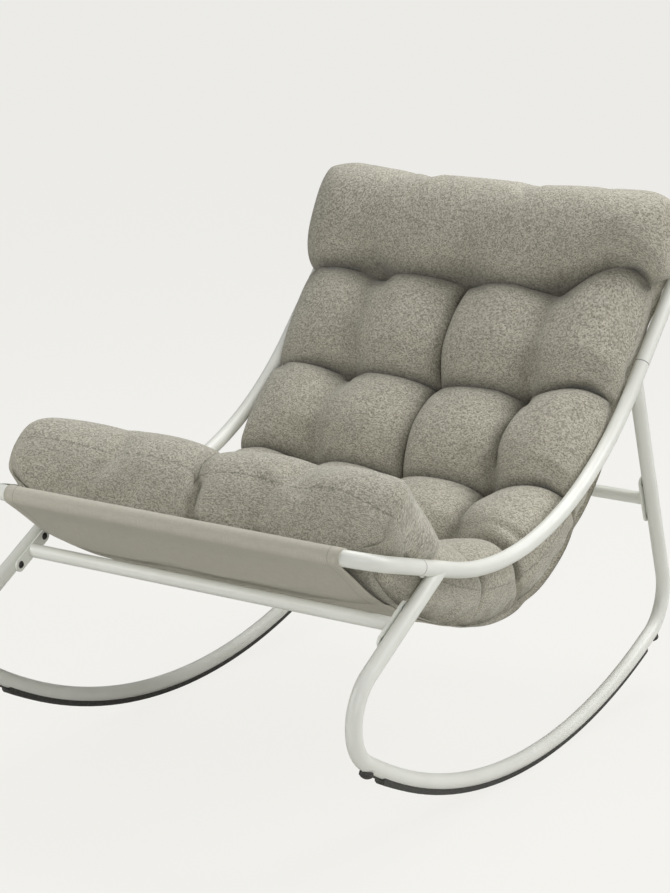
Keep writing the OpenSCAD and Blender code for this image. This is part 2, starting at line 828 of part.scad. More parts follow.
// 0 at low and below, 1 at high and above, and smooth between them
function rise(x, low, high) =
  let (t = max(0, min(1, (x - low) / (high - low)))) t * t * (3 - 2 * t);
// 0 on the lines between pillows and 1 at their middles; past an outer middle it stays 1
function swell(u, last) = u < 0.5 || u > last - 0.5 ? 1 : abs(sin(180 * u));
// 1 from the outer pillows' middles inwards, and rounded down to 0 at the cushion's edge
function shoulder(u, last) = u < 0.5 || u > last - 0.5 ? abs(sin(180 * u)) : 1;
function bell(x, width) = exp(-pow(x / width, 2));

// How open the left, middle and right upright folds of each row are: 0 is deep, 1 is no fold
OPEN_FOLDS = [
  [0.97, 0.0, 0.6], [0.7, 0.1, 0.35], [0.5, 0.0, 0.3], [0.6, 0.0, 0.35],
  [0.75, 0.0, 0.3], [0.75, 0.05, 0.65], [0.85, 0.9, 0.9]
];
// Every fold closes again at the tufts
function openness(r, c) = c < 0.5 || c > COLUMNS - 0.5 ? 0
  : OPEN_FOLDS[min(ROWS - 1, floor(r))][max(1, min(COLUMNS - 1, round(c))) - 1]
    * rise(swell(r, ROWS), 0, 0.7);

// Tuft columns stand a pitch apart, and the outer columns take what is left. The section
// crowds less to an open fold
function column_x(r, c, half_w) =
  let (place = pillow_place(c, COLUMNS))
  let (p = place + (c - place) * min(1, 1.3 * openness(r, c)) - COLUMNS / 2)
  abs(p) <= 1 ? p * tuft_pitch
  : sign(p) * (tuft_pitch + (abs(p) - 1) * (half_w - tuft_pitch));

// 1 near either end, where the rolls have no tufts across them, and 0 from the first row on
function roll(r) = max(rise(1 - r, 0.2, 0.7), rise(r - ROWS + 1, 0.2, 0.7));

function thickness(r, c) =
  let (crown = r < 1 ? front_roll_h : pillow_h)
  let (soft = pow(openness(r, c), 2))
  let (a = sqrt((pow(swell(c, COLUMNS), 2) + soft) / (1 + soft)), b = swell(r, ROWS))
  let (crease = crease_h + (crown - crease_h) * 0.6 * roll(r))
  let (sunk = tuft_h + head_tuft_rise * rise(r, ROWS - 1.5, ROWS - 0.8))
  let (inner = sunk + (crease - sunk) * pow(max(a, b), 0.8) + (crown - crease) * pow(a * b, 0.6))
  border_h + (inner - border_h) * min(shoulder(c, COLUMNS), shoulder(r, ROWS))
  + head_rise * head(r);

// The underside lies on the sling, and climbs over the front hoop at its front end
lift_run = 150;
function underside(s) = cloth_t / 2 + cushion_gap
  + front_lift * pow(max(0, 1 - (s - cushion_start) / lift_run), 2);

// The side tube's path in the side view, from hoop to hoop, and its height over the sling
side_path = concat(
  [for (t = [0 : 0.2 : 0.8]) front_tube + t * (front_joint - front_tube)],
  [for (t = [0 : 0.5 : 0.5]) front_joint + t * (rail_bend_front - front_joint)],
  [for (t = [0 : 0.05 : 0.99])
    rail_c + rail_bend_r * unit(270 - rail_front_rise + t * (rail_front_rise + rail_back_rise))],
  [for (t = [0 : 0.1 : 1]) rail_bend_back + t * (back_tube - rail_bend_back)]
);
function nearest(feet) = let (least = min([for (f = feet) abs(f[0])]))
  [for (f = feet) if (abs(f[0]) == least) f][0];
// Foot of a point on the sling: its distance along the curve there, its length and its height
function foot(p) = nearest([
  for (row = length_table)
    let (a = hammock_slope(row[1]), gap = p - hammock(row[1]))
    if (norm(gap) < rail_bend_r / 2) [gap * unit(a), row[0], gap * unit(a + 90)]
]);
tube_over_sling = [for (p = side_path) let (f = foot(p)) [f[1] + f[0], f[2]]];

// The wall between the seams: its foot is tucked in, and it bulges over that
side_draw_in = 10;
border_tuck = 8;
border_bulge = 7;
function belly(level) = border_bulge * sin(180 * pow(level, 0.8))
  - border_tuck * pow(1 - level, 2);
// The sides draw in at the folds and corners, and both rolls spread out above the side tubes
function half_width(r, s, height) =
  let (end = max(rise(0.35 - r, 0, 0.35), rise(r - ROWS + 0.35, 0, 0.35)))
  let (over_tube = height - lookup(s, tube_over_sling) - tube_r)
  let (in_roll = max(rise(1.2 - r, 0, 0.4), rise(r - ROWS + 1.2, 0, 0.6)))
  cushion_half_w - side_draw_in * (1 - abs(sin(180 * r))) - corner_cut * end * end
  + side_spread * in_roll * rise(over_tube, 14, 44);

// Folds between rows bow up between the tufts, most at the right under the head roll
row_bow = 9;
head_bow = 34;
head_bow_x = 262;
function bow(s, r, c, x) =
  (r > 0.5 && r < ROWS - 0.5 ? row_bow * abs(sin(180 * c)) * bell(s - row_length(round(r)), 45) : 0)
  + head_bow * bell(x - head_bow_x, 62) * bell(s - row_length(ROWS - 1), 80);

// Level 0 is the underside and 1 the top
function cushion_point(r, c, level) =
  let (base = level * row_length(r) + (1 - level) * under_length(r))
  let (height = underside(base) + level * thickness(r, c))
  let (x = column_x(r, c, half_width(r, base, height)))
  let (bulge = c == 0 ? -belly(level) : c == COLUMNS ? belly(level) : 0)
  let (s = base + level * bow(base, r, c, x)
    + (r == 0 ? -2 * belly(level) : r == ROWS ? max(0, belly(level)) : 0))
  let (inside = max(0, min(sling_len, s)), heading = hammock_slope(at_length(inside)))
  let (p = over_sling(inside, height) + (s - inside) * unit(heading))
  [x + bulge, p[0], p[1]];

module cushion() {
  rows = len(row_stops);
  cols = len(column_stops);
  count = rows * cols;
  // The border has two rows of points between its upper and lower seams
  levels = [1 / 3, 2 / 3];
  edge = concat(
    [for (j = [0 : cols - 2]) [0, j]],
    [for (i = [0 : rows - 2]) [i, cols - 1]],
    [for (j = [cols - 1 : -1 : 1]) [rows - 1, j]],
    [for (i = [rows - 1 : -1 : 1]) [i, 0]]
  );
  rim = len(edge);
  points = concat(
    [for (r = row_stops) for (c = column_stops) cushion_point(r, c, 1)],
    [for (r = row_stops) for (c = column_stops) cushion_point(r, c, 0)],
    [for (level = levels) for (e = edge) cushion_point(row_stops[e[0]], column_stops[e[1]], level)]
  );
  function at(i, j) = i * cols + j;
  function wall(k, ring) = let (e = edge[k % rim])
    ring == 0 ? count + at(e[0], e[1])
    : ring == 3 ? at(e[0], e[1])
    : 2 * count + (ring - 1) * rim + k % rim;
  faces = concat(
    [for (i = [0 : rows - 2]) for (j = [0 : cols - 2]) each [
      [at(i, j), at(i + 1, j), at(i + 1, j + 1)], [at(i, j), at(i + 1, j + 1), at(i, j + 1)],
      [count + at(i, j), count + at(i + 1, j + 1), count + at(i + 1, j)],
      [count + at(i, j), count + at(i, j + 1), count + at(i + 1, j + 1)]
    ]],
    [for (k = [0 : rim - 1]) for (ring = [0 : 2]) each [
      [wall(k, ring), wall(k, ring + 1), wall(k + 1, ring + 1)],
      [wall(k, ring), wall(k + 1, ring + 1), wall(k + 1, ring)]
    ]]
  );
  color("darkkhaki")
    at_rest()
      polyhedron(points = points, faces = faces);
}

left_side_rail();
right_side_rail();
left_rocker_loop();
right_rocker_loop();
front_hoop();
back_hoop();
front_hoop_screws();
back_hoop_screws();
front_crossbar();
rear_crossbar();
front_crossbar_plates();
rear_crossbar_plates();
front_crossbar_bolts();
rear_crossbar_bolts();
front_leg_inserts();
rear_leg_inserts();
left_glide_strip();
right_glide_strip();
front_stop_buttons();
rear_stop_buttons();
sling();
cushion();
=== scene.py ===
# %% [markdown]
# # Rocking armchair
# A garden rocking chair: two bent-tube side frames on curved rockers, joined by a hoop at the
# front and one at the back. A cloth sling hangs between the hoops, and one long tufted cushion
# lies in it. The frame of steel tube, its screws and its rubber strips come from CAD. Here they
# get their finishes, and the cloth parts are made.

import math

import bmesh
import bpy
import numpy as np
from mathutils import Matrix, Vector


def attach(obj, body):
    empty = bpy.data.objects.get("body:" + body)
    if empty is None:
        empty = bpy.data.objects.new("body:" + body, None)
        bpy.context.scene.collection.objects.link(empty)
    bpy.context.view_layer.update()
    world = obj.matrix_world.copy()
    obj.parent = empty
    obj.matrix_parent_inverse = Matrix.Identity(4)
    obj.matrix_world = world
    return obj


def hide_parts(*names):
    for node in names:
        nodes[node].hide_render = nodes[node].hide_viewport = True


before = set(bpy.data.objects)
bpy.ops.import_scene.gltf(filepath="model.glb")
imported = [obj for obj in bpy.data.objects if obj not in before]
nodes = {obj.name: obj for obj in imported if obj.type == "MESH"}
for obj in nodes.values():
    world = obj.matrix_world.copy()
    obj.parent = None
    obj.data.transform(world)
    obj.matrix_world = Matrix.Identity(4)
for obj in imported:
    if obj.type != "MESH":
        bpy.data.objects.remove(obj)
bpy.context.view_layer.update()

# %% [markdown]
# ## The side view that everything hangs on
# The sling and the cushion follow one curve in the side view, from the front hoop down through
# the seat and up to the back hoop. The numbers are the chair's own sizes in millimetres, turned
# by the small angle at which it comes to rest on its rockers. Cloth is modelled flat, where it
# is easy to think about, and then laid on this curve.

# %% Side view
MM = 0.001
REST_TILT = 1.8
TUBE_R, HALF_TRACK = 12.5, 343.5
ROCKER_C = np.array([0.0, 1122.5])
# Each side tube is an arc with straight ends, which turn this far from level
RAIL_R, RAIL_LOW = 621.0, 386.0
RAIL_C = np.array([-159.0, RAIL_LOW + RAIL_R])
FRONT_TURN, BACK_TURN = 18.1, 44.2
FRONT_HEADING, BACK_HEADING = 180 - FRONT_TURN, BACK_TURN
# From the arc to each hoop's joint, and from there to the hoop's cross tube
FRONT_STRAIGHT, BACK_STRAIGHT = 105, 47
FRONT_REACH, BACK_REACH = 147, 271
# How far the sleeves go round the cross tubes, and how steeply the sling leaves them
SLEEVE_TURN, SLEEVE_GAP, HALF_CLOTH = 326, 0.3, 0.75
FRONT_SLOPE, BACK_SLOPE = 38, 47
FRONT_PULL, BACK_PULL = 840, 510


def unit(angle):
    return np.array([math.cos(math.radians(angle)), math.sin(math.radians(angle))])


FRONT_JOINT = RAIL_C + RAIL_R * unit(270 - FRONT_TURN) + FRONT_STRAIGHT * unit(FRONT_HEADING)
BACK_JOINT = RAIL_C + RAIL_R * unit(270 + BACK_TURN) + BACK_STRAIGHT * unit(BACK_HEADING)
FRONT_TUBE = FRONT_JOINT + FRONT_REACH * unit(FRONT_HEADING)
BACK_TUBE = BACK_JOINT + BACK_REACH * unit(BACK_HEADING)
# The CAD's sleeve has 16 flats, and they clear the tube
SLEEVE_R = (TUBE_R + SLEEVE_GAP) / math.cos(math.radians(SLEEVE_TURN / 32)) + HALF_CLOTH
FRONT_LEAVE = FRONT_TUBE + SLEEVE_R * unit(270 - FRONT_SLOPE)
BACK_LEAVE = BACK_TUBE + SLEEVE_R * unit(270 + BACK_SLOPE)
HANG = np.array([
    FRONT_LEAVE,
    FRONT_LEAVE + FRONT_PULL * unit(-FRONT_SLOPE),
    BACK_LEAVE - BACK_PULL * unit(BACK_SLOPE),
    BACK_LEAVE,
])
steps = np.linspace(0, 1, 801)[:, None]
curve = ((1 - steps) ** 3 * HANG[0] + 3 * (1 - steps) ** 2 * steps * HANG[1]
         + 3 * (1 - steps) * steps ** 2 * HANG[2] + steps ** 3 * HANG[3])
lengths = np.concatenate([[0], np.cumsum(np.linalg.norm(np.diff(curve, axis=0), axis=1))])
SLING_LEN = lengths[-1]
print("sling from hoop to hoop", round(SLING_LEN), "mm")


def side_view(s, h):
    """Side view place of points at length s along the sling and height h over it, in mm."""
    inside = np.clip(s, 0, SLING_LEN)
    y, z = np.interp(inside, lengths, curve[:, 0]), np.interp(inside, lengths, curve[:, 1])
    ahead, behind = np.minimum(inside + 4, SLING_LEN), np.maximum(inside - 4, 0)
    ty = np.interp(ahead, lengths, curve[:, 0]) - np.interp(behind, lengths, curve[:, 0])
    tz = np.interp(ahead, lengths, curve[:, 1]) - np.interp(behind, lengths, curve[:, 1])
    size = np.hypot(ty, tz)
    ty, tz = ty / size, tz / size
    return y - tz * h + ty * (s - inside), z + ty * h + tz * (s - inside)


def at_rest(points):
    """Turns points in mm to the chair's rest, and gives them in metres."""
    tilt = Matrix.Rotation(math.radians(REST_TILT), 3, "X")
    centre = np.array([0, ROCKER_C[0], ROCKER_C[1]])
    return ((points - centre) @ np.array(tilt).T + centre) * MM


# %% [markdown]
# ## A small language for materials
# A node material is easier to read as arithmetic. `Value` wraps an output socket, so that
# `1 - mask * 0.4` adds the Math nodes itself, and `Finish.node` makes any other node from its
# type, its settings and its sockets.

# %% Material helpers


class Value:
    """The output of a shader node, usable in Python expressions."""

    def __init__(self, finish, socket):
        self.finish, self.socket = finish, socket

    def math(self, operation, *others):
        """A Math node on this value and any others, which may be plain numbers."""
        sockets = dict(enumerate((self, *others)))
        return self.finish.node("ShaderNodeMath", {"operation": operation}, sockets)

    def __add__(self, other):
        return self.math("ADD", other)

    def __sub__(self, other):
        return self.math("SUBTRACT", other)

    def __rsub__(self, other):
        return self.math("MULTIPLY_ADD", -1, other)

    def __mul__(self, other):
        return self.math("MULTIPLY", other)

    def __truediv__(self, other):
        return self.math("DIVIDE", other)

    __radd__ = __add__

    def step(self, low, high):
        """0 at low and below, 1 at high and above, smooth between them."""
        return self.finish.node(
            "ShaderNodeMapRange", {"interpolation_type": "SMOOTHSTEP"},
            {"Value": self, "From Min": low, "From Max": high})


class Finish:
    """A node material, built in Python."""

    def __init__(self, name, colour, roughness=0.5, metallic=0.0, **constants):
        self.material = bpy.data.materials.new(name)
        self.material.use_nodes = True
        self.tree = self.material.node_tree
        self.shader = self.tree.nodes["Principled BSDF"]
        self.set("Base Color", colour)
        self.set("Roughness", roughness)
        self.set("Metallic", metallic)
        for key, value in constants.items():
            self.set(key.replace("_", " "), value)

    def set(self, key, value):
        self.plug(self.shader.inputs[key], value)

    def plug(self, socket, value):
        if isinstance(value, Value):
            self.tree.links.new(value.socket, socket)
        elif isinstance(value, (tuple, list)) and socket.type == "RGBA":
            socket.default_value = (*value[:3], 1)
        else:
            socket.default_value = value

    def node(self, kind, settings=None, sockets=None, output=0):
        node = self.tree.nodes.new(kind)
        for key, value in (settings or {}).items():
            setattr(node, key, value)
        for key, value in (sockets or {}).items():
            self.plug(node.inputs[key], value)
        return Value(self, node.outputs[output])

    def place(self):
        return self.node("ShaderNodeTexCoord", output=3)

    def uv(self, name):
        return self.node("ShaderNodeUVMap", {"uv_map": name})

    def attribute(self, name):
        return self.node("ShaderNodeAttribute", {"attribute_name": name}, output=2)

    def split(self, vector):
        """The x, y and z of a vector."""
        node = self.node("ShaderNodeSeparateXYZ", None, {0: vector}).socket.node
        return [Value(self, socket) for socket in node.outputs]

    def stretched(self, vector, x, y, z=1.0, turn=0.0):
        return self.node("ShaderNodeMapping", None,
                         {"Vector": vector, "Scale": (x, y, z), "Rotation": (0, 0, turn)})

    def noise(self, vector, scale, detail=2.0, roughness=0.5):
        return self.node("ShaderNodeTexNoise", None,
                         {"Vector": vector, "Scale": scale, "Detail": detail,
                          "Roughness": roughness})

    def blend(self, factor, a, b):
        """Colour a where the factor is 0, and b where it is 1."""
        return self.node("ShaderNodeMix", {"data_type": "RGBA"}, {0: factor, 6: a, 7: b}, output=2)

    def bump(self, height, distance, strength):
        self.set("Normal", self.node("ShaderNodeBump", None,
                                     {"Height": height, "Distance": distance,
                                      "Strength": strength}))


def srgb(r, g, b):
    """Linear colour of a screen colour given from 0 to 255."""
    return tuple(c / 12.92 if c <= 0.04045 else ((c + 0.055) / 1.055) ** 2.4
                 for c in (r / 255, g / 255, b / 255))


def dress(names, finish):
    for name in names:
        mesh = nodes[name].data
        mesh.materials.clear()
        mesh.materials.append(finish.material)


# %% [markdown]
# ## Finishes of the frame
# The tubes are steel with an off-white powder coat. Baked powder leaves a fine orange peel and a
# faint cloudiness. Rails and hoops also show a fine shadow line where they plug together. The
# bolts are blackened steel, and the strips under the rockers are a tough moulded rubber with a
# dull, slightly scuffed face.

# %% Powder coat


def joint_ring(finish, place):
    """1 in the fine shadow lines where each hoop's reduced end plugs into its rail."""
    _, depth, height = finish.split(place)
    gaps = []
    for joint, heading in ((FRONT_JOINT, FRONT_HEADING), (BACK_JOINT, BACK_HEADING)):
        _, y, z = at_rest(np.array([[0, *joint]]))[0]
        along = unit(heading + REST_TILT)
        offset = depth * along[0] + height * along[1] - (y * along[0] + z * along[1])
        gaps.append(offset.math("ABSOLUTE"))
    return 1 - gaps[0].math("MINIMUM", gaps[1]).step(0.0005, 0.0011)


def powder_coat(name, ringed):
    coat = Finish(name, srgb(230, 231, 224), 0.42, Coat_Weight=0.15, Coat_Roughness=0.3)
    place = coat.place()
    cloud = coat.noise(place, 9.0, 3.0)
    colour = coat.blend(cloud.step(0.3, 0.75), srgb(226, 227, 219), srgb(233, 234, 227))
    peel = coat.noise(place, 900.0, 2.0)
    if ringed:
        ring = joint_ring(coat, place)
        colour = coat.blend(ring * 0.75, colour, srgb(92, 90, 82))
        peel = peel - ring * 6
    coat.set("Base Color", colour)
    coat.set("Roughness", 0.36 + coat.noise(place, 60.0, 3.0) * 0.14)
    coat.bump(peel, 0.00005, 0.6)
    return coat


dress([name for name in nodes if name.endswith(("loop", "bar", "plates", "hoop_screws"))],
      powder_coat("powder_coat", ringed=False))
dress([name for name in nodes if name.endswith(("rail", "hoop"))],
      powder_coat("powder_coat_jointed", ringed=True))
print("coat on", len(bpy.data.materials["powder_coat"].node_tree.nodes), "and",
      len(bpy.data.materials["powder_coat_jointed"].node_tree.nodes), "shader nodes")

# %% Bolts, inserts and rubber
black = Finish("black_oxide", srgb(52, 52, 50), 0.42, 0.35)
wear = black.noise(black.place(), 220.0, 4.0)
black.set("Base Color", black.blend(wear.step(0.58, 0.8), srgb(45, 45, 44), srgb(84, 83, 79)))
black.set("Roughness", 0.34 + wear * 0.25)
black.bump(black.noise(black.place(), 1500.0, 2.0), 0.00003, 0.5)
dress([name for name in nodes if name.endswith("crossbar_bolts")], black)

zinc = Finish("zinc_plate", srgb(176, 178, 176), 0.34, 0.9)
bloom = zinc.noise(zinc.place(), 140.0, 4.0)
dull, bright = srgb(150, 152, 152), srgb(186, 187, 184)
zinc.set("Base Color", zinc.blend(bloom.step(0.35, 0.7), bright, dull))
zinc.set("Roughness", 0.26 + bloom * 0.2)
dress([name for name in nodes if name.endswith("inserts")], zinc)

rubber = Finish("strip_rubber", srgb(62, 62, 59), 0.62)
place = rubber.place()
scuff = rubber.noise(rubber.stretched(place, 40, 260, 260), 1.0, 4.0)
rubber.set("Base Color", rubber.blend(scuff.step(0.45, 0.8), srgb(54, 54, 52), srgb(88, 87, 82)))
rubber.set("Roughness", 0.5 + scuff * 0.3)
rubber.bump(rubber.noise(place, 700.0, 3.0), 0.0001, 0.5)
dress([name for name in nodes if name.endswith(("glide_strip", "stop_buttons"))], rubber)
print("finishes on", sum(len(node.data.materials) for node in nodes.values()), "CAD nodes")

# %% [markdown]
# ## Helpers for new pieces
# A new piece starts in a bmesh, in millimetres, and ends as an object in metres at the origin.

# %% Piece helpers


def linked(name, data):
    """An object with this data, in the scene."""
    thing = bpy.data.objects.new(name, data)
    bpy.context.scene.collection.objects.link(thing)
    return thing


def mesh_object(name, mesh_bm, finish):
    mesh = bpy.data.meshes.new(name)
    mesh_bm.to_mesh(mesh)
    mesh_bm.free()
    mesh.materials.append(finish.material)
    return linked(name, mesh)


def finished(name, mesh_bm, finish):
    piece = mesh_object(name, mesh_bm, finish)
    piece.data.shade_smooth()
    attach(piece, "root")
    return piece


def corners(mesh):
    """The places of a mesh's vertices, one row each."""
    flat = np.empty(len(mesh.vertices) * 3, dtype=np.float32)
    mesh.vertices.foreach_get("co", flat)
    return flat.reshape(-1, 3).astype(float)


def set_corners(mesh, points):
    mesh.vertices.foreach_set("co", np.asarray(points, dtype=np.float32).ravel())
    mesh.update()


def bell(x, centre, width):
    """1 at the centre, and soon 0 past the width."""
    return np.exp(-((x - centre) / width) ** 2)


def rise(x, low, high):
    """0 at low and below, 1 at high and above, smooth between them."""
    t = np.clip((x - low) / (high - low), 0, 1)
    return t * t * (3 - 2 * t)


# %% [markdown]
# ## The sling
# One piece of tightly woven outdoor cloth, with a sleeve sewn at each end that slides over a
# hoop. It is made as the flat cut: a grid as wide as the sling and as long as both sleeves and
# the hanging part together. Each row of the grid is then wrapped round the front tube, laid
# along the hanging curve, or wrapped round the back tube. The sides have a folded hem, so the
# wall is thicker there.

# %% Sling cut
HALF_SLING = 298.5
HEM, HEM_WALL, CLOTH_WALL = 20, 1.8, 1.116
SLEEVE_LEN = math.radians(SLEEVE_TURN) * SLEEVE_R
flat_length = SLING_LEN + 2 * SLEEVE_LEN
print("sling cut", round(2 * HALF_SLING), "x", round(flat_length), "mm")

sling_bm = bmesh.new()
bmesh.ops.create_grid(sling_bm, x_segments=72, y_segments=260, size=0.5)
bmesh.ops.scale(sling_bm, vec=(2 * HALF_SLING, flat_length, 1), verts=sling_bm.verts)
cut = sling_bm.loops.layers.uv.new("cut")
for face in sling_bm.faces:
    for loop in face.loops:
        loop[cut].uv = (loop.vert.co.x * MM, loop.vert.co.y * MM)
print("sling grid", len(sling_bm.faces), "faces")


# %% Form of the hanging cloth
# The cross tubes bend into the side tubes with this radius, and the sling follows them this far
HOOP_BEND_R, HOOP_REACH = 60, 160


def corner_turn(x):
    """How far the hoop has turned at x, in radians."""
    return np.arcsin(np.clip((np.abs(x) - HALF_TRACK + HOOP_BEND_R) / HOOP_BEND_R, 0, 1))


def edge_lift(x, s):
    """The hems are sewn a little tight, so the sling's sides hang less deep than its middle."""
    return 20 * rise(np.abs(x), 150, 300) * bell(s, 620, 300)


def sling_folds(x, s):
    """The front bellies out a little, and creases where the cushion's weight takes over."""
    line = 168 + 9 * np.sin(x / 52) + 6 * np.sin(x / 23 + 1) - 50 * rise(-x, 190, 300)
    fold = -13 * rise(s, 30, 120) * (1 - rise(s, line - 12, line + 12))
    fold -= 2.4 * bell(s, line - 52 - x / 14, 11) * bell(x, 60, 150)
    fold -= 2.0 * bell(s, line - 34, 9) * bell(x, -190, 80)
    fold -= 4 * rise(s, line + 12, 250) * (1 - rise(s, 250, 330))
    return fold * rise(HALF_SLING - np.abs(x), -30, 60)


def on_sleeve(x, sag, past_leave, tube, heading, leave):
    """Side view place of points wrapped round one cross tube, so far past the leaving point."""
    angle = np.radians(leave + np.degrees(past_leave / SLEEVE_R) - heading)
    along, across = unit(heading), unit(heading + 90)
    stretch = SLEEVE_R * np.cos(angle) / np.cos(corner_turn(x)) - sag
    side = SLEEVE_R * np.sin(angle)
    return [tube[i] + stretch * along[i] + side * across[i] for i in (0, 1)]


def lay_sling(points):
    x, s = points[:, 0], points[:, 1] + flat_length / 2 - SLEEVE_LEN
    sag = HOOP_BEND_R * (1 - np.cos(corner_turn(x)))
    # Side hems pull the hanging part in a little
    pulled = x * (1 - 6 / HALF_SLING * np.sin(np.pi * np.clip(s / SLING_LEN, 0, 1)) ** 2)
    y, z = side_view(s, sling_folds(x, s) + edge_lift(x, s))
    to_front = np.clip(1 - s / HOOP_REACH, 0, 1) ** 2
    to_back = np.clip(1 - (SLING_LEN - s) / HOOP_REACH, 0, 1) ** 2
    y = y - sag * (to_front * unit(FRONT_HEADING)[0] + to_back * unit(BACK_HEADING)[0])
    z = z - sag * (to_front * unit(FRONT_HEADING)[1] + to_back * unit(BACK_HEADING)[1])
    front_y, front_z = on_sleeve(x, sag, s, FRONT_TUBE, FRONT_HEADING, 270 - FRONT_SLOPE)
    back_y, back_z = on_sleeve(x, sag, s - SLING_LEN, BACK_TUBE, BACK_HEADING, 270 + BACK_SLOPE)
    in_sleeves = [s < 0, s > SLING_LEN]
    y = np.select(in_sleeves, [front_y, back_y], y)
    z = np.select(in_sleeves, [front_z, back_z], z)
    return at_rest(np.stack([pulled, y, z], axis=1))


# %% Sling laid on its curve
cloth = Finish("sling_cloth", srgb(186, 182, 168), 0.78, Sheen_Weight=0.12)
sling = finished("sling_cloth", sling_bm, cloth)
flat_sling = corners(sling.data)
set_corners(sling.data, lay_sling(flat_sling))
in_hem = np.abs(flat_sling[:, 0]) > HALF_SLING - HEM
hem = sling.vertex_groups.new(name="hem")
hem.add(np.nonzero(in_hem)[0].tolist(), 1.0, "REPLACE")
hem.add(np.nonzero(~in_hem)[0].tolist(), CLOTH_WALL / HEM_WALL, "REPLACE")
wall = sling.modifiers.new("wall", "SOLIDIFY")
wall.thickness, wall.offset = HEM_WALL * MM, 0
wall.vertex_group, wall.use_rim = "hem", True
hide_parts("sling")
flat_length * MM
print("hem on", int(in_hem.sum()), "of", len(flat_sling), "points")

# %% Sling finish
# Pairs of threads and stitches, in metres
THREADS, STITCH, STITCH_HALF_WIDTH = 0.0011, 0.0035, 0.0007
cut_place = cloth.uv("cut")
across, along, _ = cloth.split(cut_place)
warp = (across * (2 * math.pi / THREADS)).math("SINE")
weft = (along * (2 * math.pi / THREADS)).math("SINE")
weave = warp * weft
slub = (cloth.noise(cloth.stretched(cut_place, 900, 60), 1.0, 2.0) * 0.5
        + cloth.noise(cloth.stretched(cut_place, 60, 900), 1.0, 2.0) * 0.5)
shade = cloth.blend(slub.step(0.3, 0.7), srgb(176, 172, 157), srgb(190, 186, 172))
edge = across.math("ABSOLUTE")
stitch_line = edge.math("COMPARE", (HALF_SLING - HEM + 2) * MM, STITCH_HALF_WIDTH)
stitched = stitch_line * (along * (1 / STITCH)).math("FRACT").step(0.2, 0.3)
cloth.set("Base Color", cloth.blend(stitched, shade, srgb(150, 146, 133)))
cloth.set("Roughness", 0.74 + slub * 0.12)
cloth.bump(weave * 0.5 + slub * 0.6 - stitched * 1.5, 0.0002, 0.7)
print("sling", len(sling.data.polygons), "faces")

# %% [markdown]
# ## The cushion
# One long bag of tweed with a border all round, stuffed with soft filling and drawn down by
# eighteen tufts. It could be one smooth block with a bump map, but the sharp folds where two
# pillows press together are its whole character. So it starts as a box of quads with a row of
# pillows drawn in it, each with an upright wall at the folds, and the cloth is then blown up
# against its tufts by a short simulation. All this is done flat. The finished cushion is bent
# into the sling, which squeezes the pillows together as in the real chair.

# %% Cushion layout
ROWS, COLUMNS = 7, 4
ROW_CELLS, COLUMN_CELLS, WALL_CELLS = 22, 18, 8
START, PAST_SLING, HALF_CUSHION = 14.0, 20, 322.0
PITCH = (SLING_LEN + PAST_SLING - START) / ROWS
END = START + PITCH * ROWS
TUFT_PITCH = 172.0

# One unit wide and long for each pillow, and one unit high
box = bmesh.new()
bmesh.ops.create_grid(
    box, x_segments=COLUMNS * COLUMN_CELLS, y_segments=ROWS * ROW_CELLS, size=0.5)
bmesh.ops.scale(box, vec=(COLUMNS, ROWS, 1), verts=box.verts)
bmesh.ops.translate(box, vec=(0, ROWS / 2, 0), verts=box.verts)
lower = bmesh.ops.extrude_face_region(box, geom=box.faces[:])
bmesh.ops.translate(box, vec=(0, 0, 1),
                    verts=[g for g in lower["geom"] if isinstance(g, bmesh.types.BMVert)])
upright = [e for e in box.edges if abs(e.verts[0].co.z - e.verts[1].co.z) > 0.5]
bmesh.ops.subdivide_edges(box, edges=upright, cuts=WALL_CELLS - 1, use_grid_fill=True)
bmesh.ops.recalc_face_normals(box, faces=box.faces)
print("cushion box", len(box.faces), "faces")

# %% Heights, folds and bows of the pillows
# How high the seam, the tufts and the folds in the rolls lie over the sling, in mm
SEAM_H, TUFT_H, ROLL_FOLD_H = 62, 54, 69
# Crowns of the seven rows over the sling, from the front roll to the head roll
CROWN = np.array([154, 122, 118, 118, 118, 120, 124])
# How open the left, middle and right upright folds of each row are: 0 is deep, 1 is no fold
OPEN = np.array([
    [1.0, 0.0, 0.6],
    [0.6, 0.1, 0.35],
    [0.45, 0.0, 0.3],
    [0.45, 0.0, 0.3],
    [0.5, 0.0, 0.2],
    [0.5, 0.05, 0.5],
    [2.2, 2.2, 2.2],
])
# How far the fold above each row bows up in the outer right pillow, in mm
RIGHT_BOW = [20, 0, 0, 14, 26, 58, 0]
# How much each pillow's crown differs from its row's, in mm
FULLER = 5 * np.random.default_rng(7).uniform(-1, 1, (ROWS, COLUMNS))
print("crowns differ by", FULLER.min().round(1), "to", FULLER.max().round(1), "mm in a row")

# %% Height of the side tubes over the sling
tube_path = np.concatenate([
    [FRONT_TUBE + t * (FRONT_JOINT - FRONT_TUBE) for t in np.linspace(0, 1, 20)],
    [FRONT_JOINT - t * unit(FRONT_HEADING) for t in np.linspace(1, FRONT_STRAIGHT, 12)],
    [RAIL_C + RAIL_R * unit(t) for t in np.linspace(270 - FRONT_TURN, 270 + BACK_TURN, 60)],
    [BACK_JOINT + t * unit(BACK_HEADING) for t in np.linspace(-BACK_STRAIGHT, BACK_REACH, 40)],
])
facing = np.gradient(curve, axis=0)
facing /= np.linalg.norm(facing, axis=1)[:, None]
over = []
for point in tube_path:
    gap = point - curve
    ahead = np.abs((gap * facing).sum(axis=1)) + (np.linalg.norm(gap, axis=1) > 400) * 1e3
    k = int(np.argmin(ahead))
    over.append((lengths[k], gap[k] @ np.array([-facing[k, 1], facing[k, 0]])))
over = np.array(sorted(over))
print("frame tube over the sling, mm:", [int(h) for h in over[::20, 1]])


def tube_height(s):
    """How high the side tube's middle lies over the sling at length s."""
    return np.interp(s, over[:, 0], over[:, 1])


# %% Section and plan of a pillow


